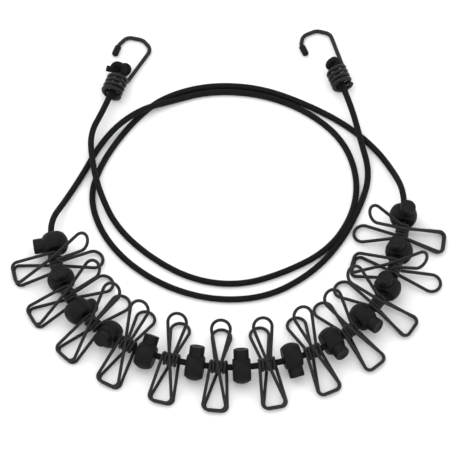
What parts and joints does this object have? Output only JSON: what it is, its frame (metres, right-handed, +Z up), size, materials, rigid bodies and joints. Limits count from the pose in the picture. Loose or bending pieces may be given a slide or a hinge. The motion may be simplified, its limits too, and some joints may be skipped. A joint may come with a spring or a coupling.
{
  "type": "elastic clothesline",
  "caption": "Elastic travel clothesline with sprung wire clips and ball cord locks along the cord and a wire hook at each end.",
  "frame": {"origin": "on the table, below the middle of the hard pieces (hooks, clips and locks)", "axes": "+Z up from the table; +Y towards the two hooks; +X to the right, seen from the clips"},
  "size_m": [0.3432, 0.3436, 0.0439],
  "materials": {
    "cord": "woven",
    "clip_wire": "satin",
    "hook_wire": "satin",
    "lock": "matte",
    "cap": "matte",
    "spring": "plain"
  },
  "bodies": {
    "base": {"elastic_cord": "cord", "left_knot": "cord", "right_knot": "cord", "lock_springs": "spring", "lock_01_body": "lock", "lock_02_body": "lock", "lock_03_body": "lock", "lock_04_body": "lock", "lock_05_body": "lock", "lock_06_body": "lock", "lock_07_body": "lock", "lock_08_body": "lock", "lock_09_body": "lock", "lock_10_body": "lock", "lock_11_body": "lock", "lock_12_body": "lock", "lock_13_body": "lock"},
    "left_hook": {"left_hook": "hook_wire", "left_hook_cap": "cap"},
    "right_hook": {"right_hook": "hook_wire", "right_hook_cap": "cap"},
    "clip_01_rear": {"clip_01_rear_lever": "clip_wire"},
    "clip_01_front": {"clip_01_front_lever": "clip_wire"},
    "clip_02_rear": {"clip_02_rear_lever": "clip_wire"},
    "clip_02_front": {"clip_02_front_lever": "clip_wire"},
    "clip_03_rear": {"clip_03_rear_lever": "clip_wire"},
    "clip_03_front": {"clip_03_front_lever": "clip_wire"},
    "clip_04_rear": {"clip_04_rear_lever": "clip_wire"},
    "clip_04_front": {"clip_04_front_lever": "clip_wire"},
    "clip_05_rear": {"clip_05_rear_lever": "clip_wire"},
    "clip_05_front": {"clip_05_front_lever": "clip_wire"},
    "clip_06_rear": {"clip_06_rear_lever": "clip_wire"},
    "clip_06_front": {"clip_06_front_lever": "clip_wire"},
    "clip_07_rear": {"clip_07_rear_lever": "clip_wire"},
    "clip_07_front": {"clip_07_front_lever": "clip_wire"},
    "clip_08_rear": {"clip_08_rear_lever": "clip_wire"},
    "clip_08_front": {"clip_08_front_lever": "clip_wire"},
    "clip_09_rear": {"clip_09_rear_lever": "clip_wire"},
    "clip_09_front": {"clip_09_front_lever": "clip_wire"},
    "clip_10_rear": {"clip_10_rear_lever": "clip_wire"},
    "clip_10_front": {"clip_10_front_lever": "clip_wire"},
    "clip_11_rear": {"clip_11_rear_lever": "clip_wire"},
    "clip_11_front": {"clip_11_front_lever": "clip_wire"},
    "clip_12_rear": {"clip_12_rear_lever": "clip_wire"},
    "clip_12_front": {"clip_12_front_lever": "clip_wire"},
    "lock_01_button": {"lock_01_button": "lock"},
    "lock_02_button": {"lock_02_button": "lock"},
    "lock_03_button": {"lock_03_button": "lock"},
    "lock_04_button": {"lock_04_button": "lock"},
    "lock_05_button": {"lock_05_button": "lock"},
    "lock_06_button": {"lock_06_button": "lock"},
    "lock_07_button": {"lock_07_button": "lock"},
    "lock_08_button": {"lock_08_button": "lock"},
    "lock_09_button": {"lock_09_button": "lock"},
    "lock_10_button": {"lock_10_button": "lock"},
    "lock_11_button": {"lock_11_button": "lock"},
    "lock_12_button": {"lock_12_button": "lock"},
    "lock_13_button": {"lock_13_button": "lock"}
  },
  "joints": [
    {"name": "left_hook_swivel", "type": "hinge", "parent": "base", "child": "left_hook", "pos_m": [-0.09114, 0.11599, 0.0087], "axis": [-0.3579, -0.9338, 0], "range_deg": [0, 90]},
    {"name": "right_hook_swivel", "type": "hinge", "parent": "base", "child": "right_hook", "pos_m": [0.08836, 0.12318, 0.0087], "axis": [0.355, -0.9349, 0], "range_deg": [0, 90]},
    {"name": "clip_01_swivel", "type": "hinge", "parent": "base", "child": "clip_01_rear", "pos_m": [-0.13618, -0.04374, 0.013], "axis": [-0.2156, 0.9765, 0], "range_deg": [-20, 20]},
    {"name": "clip_01_open", "type": "hinge", "parent": "clip_01_rear", "child": "clip_01_front", "pos_m": [-0.13618, -0.04374, 0.013], "axis": [-0.2156, 0.9765, 0], "range_deg": [0, 35], "stiffness_Nm_per_rad": 0.2, "springref_deg": -28.65},
    {"name": "clip_02_swivel", "type": "hinge", "parent": "base", "child": "clip_02_rear", "pos_m": [-0.12508, -0.07334, 0.013], "axis": [-0.4767, 0.8791, 0], "range_deg": [-20, 20]},
    {"name": "clip_02_open", "type": "hinge", "parent": "clip_02_rear", "child": "clip_02_front", "pos_m": [-0.12508, -0.07334, 0.013], "axis": [-0.4767, 0.8791, 0], "range_deg": [0, 35], "stiffness_Nm_per_rad": 0.2, "springref_deg": -28.65},
    {"name": "clip_03_swivel", "type": "hinge", "parent": "base", "child": "clip_03_rear", "pos_m": [-0.10598, -0.09844, 0.013], "axis": [-0.7228, 0.6911, 0], "range_deg": [-20, 20]},
    {"name": "clip_03_open", "type": "hinge", "parent": "clip_03_rear", "child": "clip_03_front", "pos_m": [-0.10598, -0.09844, 0.013], "axis": [-0.7228, 0.6911, 0], "range_deg": [0, 35], "stiffness_Nm_per_rad": 0.2, "springref_deg": -28.65},
    {"name": "clip_04_swivel", "type": "hinge", "parent": "base", "child": "clip_04_rear", "pos_m": [-0.07958, -0.11729, 0.013], "axis": [-0.8836, 0.4683, 0], "range_deg": [-20, 20]},
    {"name": "clip_04_open", "type": "hinge", "parent": "clip_04_rear", "child": "clip_04_front", "pos_m": [-0.07958, -0.11729, 0.013], "axis": [-0.8836, 0.4683, 0], "range_deg": [0, 35], "stiffness_Nm_per_rad": 0.2, "springref_deg": -28.65},
    {"name": "clip_05_swivel", "type": "hinge", "parent": "base", "child": "clip_05_rear", "pos_m": [-0.04548, -0.13009, 0.013], "axis": [-0.9692, 0.2461, 0], "range_deg": [-20, 20]},
    {"name": "clip_05_open", "type": "hinge", "parent": "clip_05_rear", "child": "clip_05_front", "pos_m": [-0.04548, -0.13009, 0.013], "axis": [-0.9692, 0.2461, 0], "range_deg": [0, 35], "stiffness_Nm_per_rad": 0.2, "springref_deg": -28.65},
    {"name": "clip_06_swivel", "type": "hinge", "parent": "base", "child": "clip_06_rear", "pos_m": [-0.00818, -0.13654, 0.013], "axis": [-0.9962, 0.0876, 0], "range_deg": [-20, 20]},
    {"name": "clip_06_open", "type": "hinge", "parent": "clip_06_rear", "child": "clip_06_front", "pos_m": [-0.00818, -0.13654, 0.013], "axis": [-0.9962, 0.0876, 0], "range_deg": [0, 35], "stiffness_Nm_per_rad": 0.2, "springref_deg": -28.65},
    {"name": "clip_07_swivel", "type": "hinge", "parent": "base", "child": "clip_07_rear", "pos_m": [0.03002, -0.13434, 0.013], "axis": [-0.9824, -0.1867, 0], "range_deg": [-20, 20]},
    {"name": "clip_07_open", "type": "hinge", "parent": "clip_07_rear", "child": "clip_07_front", "pos_m": [0.03002, -0.13434, 0.013], "axis": [-0.9824, -0.1867, 0], "range_deg": [0, 35], "stiffness_Nm_per_rad": 0.2, "springref_deg": -28.65},
    {"name": "clip_08_swivel", "type": "hinge", "parent": "base", "child": "clip_08_rear", "pos_m": [0.06597, -0.12334, 0.013], "axis": [-0.9114, -0.4114, 0], "range_deg": [-20, 20]},
    {"name": "clip_08_open", "type": "hinge", "parent": "clip_08_rear", "child": "clip_08_front", "pos_m": [0.06597, -0.12334, 0.013], "axis": [-0.9114, -0.4114, 0], "range_deg": [0, 35], "stiffness_Nm_per_rad": 0.2, "springref_deg": -28.65},
    {"name": "clip_09_swivel", "type": "hinge", "parent": "base", "child": "clip_09_rear", "pos_m": [0.09447, -0.10524, 0.013], "axis": [-0.755, -0.6557, 0], "range_deg": [-20, 20]},
    {"name": "clip_09_open", "type": "hinge", "parent": "clip_09_rear", "child": "clip_09_front", "pos_m": [0.09447, -0.10524, 0.013], "axis": [-0.755, -0.6557, 0], "range_deg": [0, 35], "stiffness_Nm_per_rad": 0.2, "springref_deg": -28.65},
    {"name": "clip_10_swivel", "type": "hinge", "parent": "base", "child": "clip_10_rear", "pos_m": [0.11612, -0.08024, 0.013], "axis": [-0.5423, -0.8402, 0], "range_deg": [-20, 20]},
    {"name": "clip_10_open", "type": "hinge", "parent": "clip_10_rear", "child": "clip_10_front", "pos_m": [0.11612, -0.08024, 0.013], "axis": [-0.5423, -0.8402, 0], "range_deg": [0, 35], "stiffness_Nm_per_rad": 0.2, "springref_deg": -28.65},
    {"name": "clip_11_swivel", "type": "hinge", "parent": "base", "child": "clip_11_rear", "pos_m": [0.12972, -0.04994, 0.013], "axis": [0.2676, 0.9635, 0], "range_deg": [-20, 20]},
    {"name": "clip_11_open", "type": "hinge", "parent": "clip_11_rear", "child": "clip_11_front", "pos_m": [0.12972, -0.04994, 0.013], "axis": [0.2676, 0.9635, 0], "range_deg": [0, 35], "stiffness_Nm_per_rad": 0.2, "springref_deg": -28.65},
    {"name": "clip_12_swivel", "type": "hinge", "parent": "base", "child": "clip_12_rear", "pos_m": [0.13637, -0.01784, 0.013], "axis": [-0.134, -0.991, 0], "range_deg": [-20, 20]},
    {"name": "clip_12_open", "type": "hinge", "parent": "clip_12_rear", "child": "clip_12_front", "pos_m": [0.13637, -0.01784, 0.013], "axis": [-0.134, -0.991, 0], "range_deg": [0, 35], "stiffness_Nm_per_rad": 0.2, "springref_deg": -28.65},
    {"name": "lock_01_press", "type": "slide", "parent": "base", "child": "lock_01_button", "axis": [0.9879, 0.1283, 0.0872], "range_m": [0, 0.003], "stiffness_N_per_m": 500, "springref_m": -0.003},
    {"name": "lock_02_press", "type": "slide", "parent": "base", "child": "lock_02_button", "axis": [0.1304, 0.0486, -0.9903], "range_m": [0, 0.003], "stiffness_N_per_m": 500, "springref_m": -0.003},
    {"name": "lock_03_press", "type": "slide", "parent": "base", "child": "lock_03_button", "axis": [-0.7016, -0.536, 0.4695], "range_m": [0, 0.003], "stiffness_N_per_m": 500, "springref_m": -0.003},
    {"name": "lock_04_press", "type": "slide", "parent": "base", "child": "lock_04_button", "axis": [0.4483, 0.6212, -0.6428], "range_m": [0, 0.003], "stiffness_N_per_m": 500, "springref_m": -0.003},
    {"name": "lock_05_press", "type": "slide", "parent": "base", "child": "lock_05_button", "axis": [-0.3116, -0.808, -0.5], "range_m": [0, 0.003], "stiffness_N_per_m": 500, "springref_m": -0.003},
    {"name": "lock_06_press", "type": "slide", "parent": "base", "child": "lock_06_button", "axis": [-0.1282, -0.7552, -0.6428], "range_m": [0, 0.003], "stiffness_N_per_m": 500, "springref_m": -0.003},
    {"name": "lock_07_press", "type": "slide", "parent": "base", "child": "lock_07_button", "axis": [0.0383, -0.7651, -0.6428], "range_m": [0, 0.003], "stiffness_N_per_m": 500, "springref_m": -0.003},
    {"name": "lock_08_press", "type": "slide", "parent": "base", "child": "lock_08_button", "axis": [-0.2659, 0.842, 0.4695], "range_m": [0, 0.003], "stiffness_N_per_m": 500, "springref_m": -0.003},
    {"name": "lock_09_press", "type": "slide", "parent": "base", "child": "lock_09_button", "axis": [-0.5311, 0.8293, -0.1737], "range_m": [0, 0.003], "stiffness_N_per_m": 500, "springref_m": -0.003},
    {"name": "lock_10_press", "type": "slide", "parent": "base", "child": "lock_10_button", "axis": [-0.744, 0.6452, -0.1736], "range_m": [0, 0.003], "stiffness_N_per_m": 500, "springref_m": -0.003},
    {"name": "lock_11_press", "type": "slide", "parent": "base", "child": "lock_11_button", "axis": [0.127, -0.057, -0.9903], "range_m": [0, 0.003], "stiffness_N_per_m": 500, "springref_m": -0.003},
    {"name": "lock_12_press", "type": "slide", "parent": "base", "child": "lock_12_button", "axis": [0.1363, -0.028, -0.9903], "range_m": [0, 0.003], "stiffness_N_per_m": 500, "springref_m": -0.003},
    {"name": "lock_13_press", "type": "slide", "parent": "base", "child": "lock_13_button", "axis": [-0.2415, 0.0135, -0.9703], "range_m": [0, 0.003], "stiffness_N_per_m": 500, "springref_m": -0.003}
  ]
}
